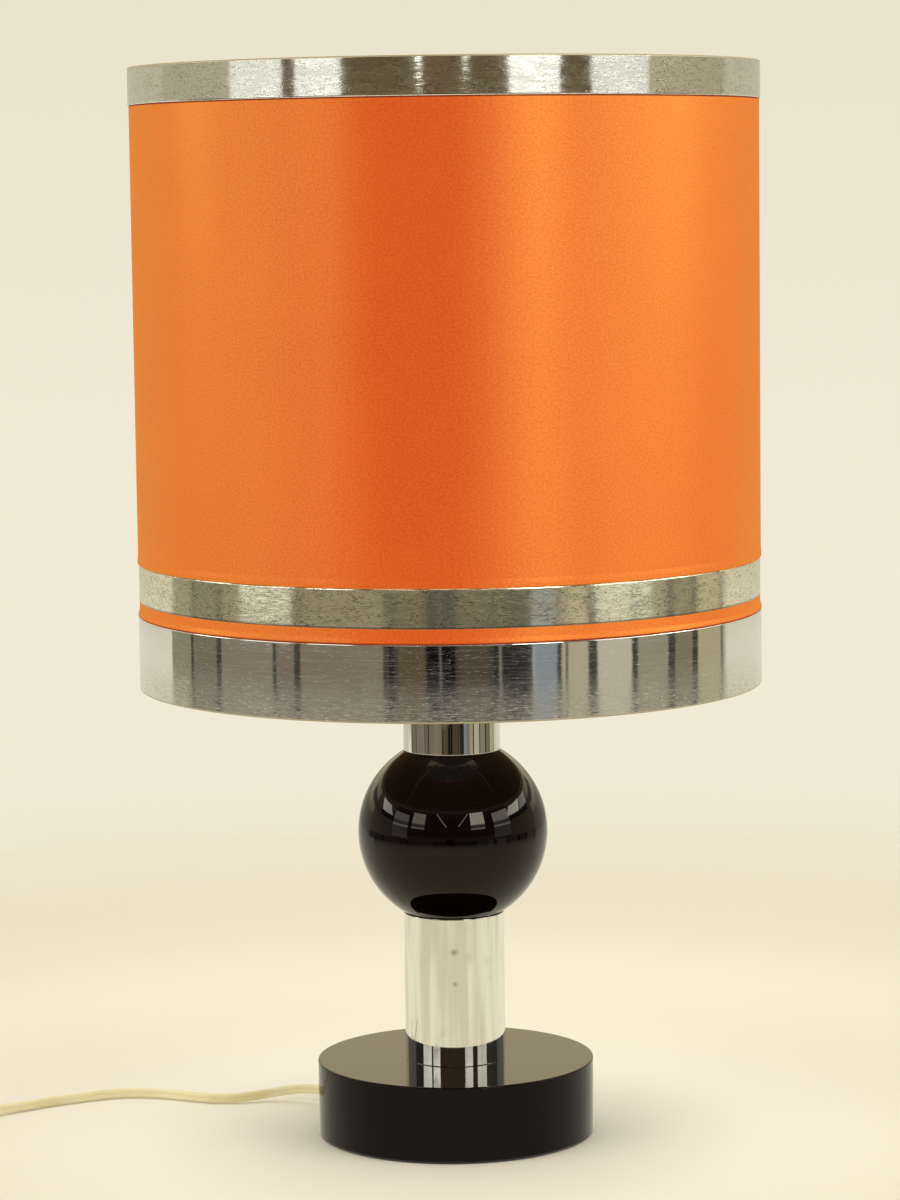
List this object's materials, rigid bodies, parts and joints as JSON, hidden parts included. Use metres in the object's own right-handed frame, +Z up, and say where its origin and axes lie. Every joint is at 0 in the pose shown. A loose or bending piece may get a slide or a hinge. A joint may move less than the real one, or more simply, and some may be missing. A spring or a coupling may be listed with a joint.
{
  "type": "table lamp",
  "caption": "Table lamp with a round base, a black glass globe between chrome tubes and a straight-sided drum shade in orange cloth with silver bands.",
  "frame": {"origin": "bottom centre of the round base, on the surface the lamp stands on", "axes": "+Z up along the stem, -Y towards the viewer, the cord leaves at the back left"},
  "size_m": [0.5893, 0.3954, 0.6046],
  "materials": {
    "base_gloss": "black gloss lacquer",
    "weight_iron": "as cast",
    "board": "pressed fibre",
    "felt": "felt",
    "black_rubber": "smooth",
    "plated_steel": "zinc plated",
    "chrome_tube": "polished",
    "seat_fibre": "thin washer",
    "globe_glass": "black gloss, opaque",
    "holder_black": "moulded",
    "ceramic": "unglazed",
    "brass": "plain",
    "bulb_glass": "frosted",
    "bulb_cap": "pressed",
    "bulb_insulator": "vitrite",
    "solder": "dull",
    "clear_glass": "clear",
    "wire": "drawn",
    "liner": "matt laminate",
    "silver_foil": "crinkled metallised foil",
    "orange_satin": "satin",
    "frame_wire": "white lacquer",
    "tape": "woven tape",
    "cord": "clear golden flexible plastic",
    "switch_shell": "translucent gold",
    "switch_rocker": "gloss",
    "plug": "moulded",
    "pins": "nickel plated"
  },
  "bodies": {
    "lamp": {"base_cover": "base_gloss", "base_weight": "weight_iron", "base_board": "board", "base_felt": "felt", "cord_bushing": "black_rubber", "rod_washer": "plated_steel", "rod_nut": "plated_steel", "threaded_rod": "plated_steel", "column_tube": "chrome_tube", "column_cup_lower": "plated_steel", "column_cup_upper": "plated_steel", "globe_seat_lower": "seat_fibre", "globe": "globe_glass", "globe_seat_upper": "seat_fibre", "neck_cup": "plated_steel", "neck_tube": "chrome_tube", "neck_cap": "chrome_tube", "lock_nut": "plated_steel", "holder_cap": "holder_black", "holder_grub_screw": "plated_steel", "holder_sleeve": "holder_black", "holder_core": "ceramic", "holder_shell": "brass", "holder_contact": "brass", "terminal_screws": "brass", "cord_inner": "cord", "cord_free": "cord", "cord_link": "cord", "cord_coil": "cord", "cord_tail": "cord", "switch_lower": "switch_shell", "switch_upper": "switch_shell", "switch_pin": "plated_steel", "switch_contacts": "brass", "switch_screws": "plated_steel", "plug_body": "plug", "plug_pins": "pins"},
    "shade": {"shade_liner": "liner", "band_top": "silver_foil", "panel_main": "orange_satin", "band_middle": "silver_foil", "stripe": "orange_satin", "band_bottom": "silver_foil", "shade_ring_wire_top": "frame_wire", "shade_ring_wire_bottom": "frame_wire", "rim_tape_top": "tape", "rim_tape_bottom": "tape", "fitter_ring": "frame_wire", "shade_spokes": "frame_wire"},
    "shade_ring": {"shade_ring": "holder_black"},
    "bulb": {"bulb_glass": "bulb_glass", "bulb_cap": "bulb_cap", "bulb_insulator": "bulb_insulator", "bulb_foot": "solder", "bulb_stem": "clear_glass", "bulb_filament": "wire"},
    "switch_rocker": {"switch_rocker": "switch_rocker"}
  },
  "joints": [
    {"name": "shade_turn", "type": "hinge", "parent": "lamp", "child": "shade", "pos_m": [0, 0, 0.31006], "axis": [0, 0, 1], "continuous": true},
    {"name": "shade_ring_turn", "type": "hinge", "parent": "lamp", "child": "shade_ring", "pos_m": [0, 0, 0.31156], "axis": [0, 0, 1], "continuous": true},
    {"name": "bulb_lift", "type": "slide", "parent": "lamp", "child": "bulb", "axis": [0, 0, 1], "range_m": [0, 0.3]},
    {"name": "switch_rocker", "type": "hinge", "parent": "lamp", "child": "switch_rocker", "pos_m": [-0.3205, 0.0015, 0.0105], "axis": [0.6561, -0.7547, 0], "range_deg": [0, 14]}
  ]
}
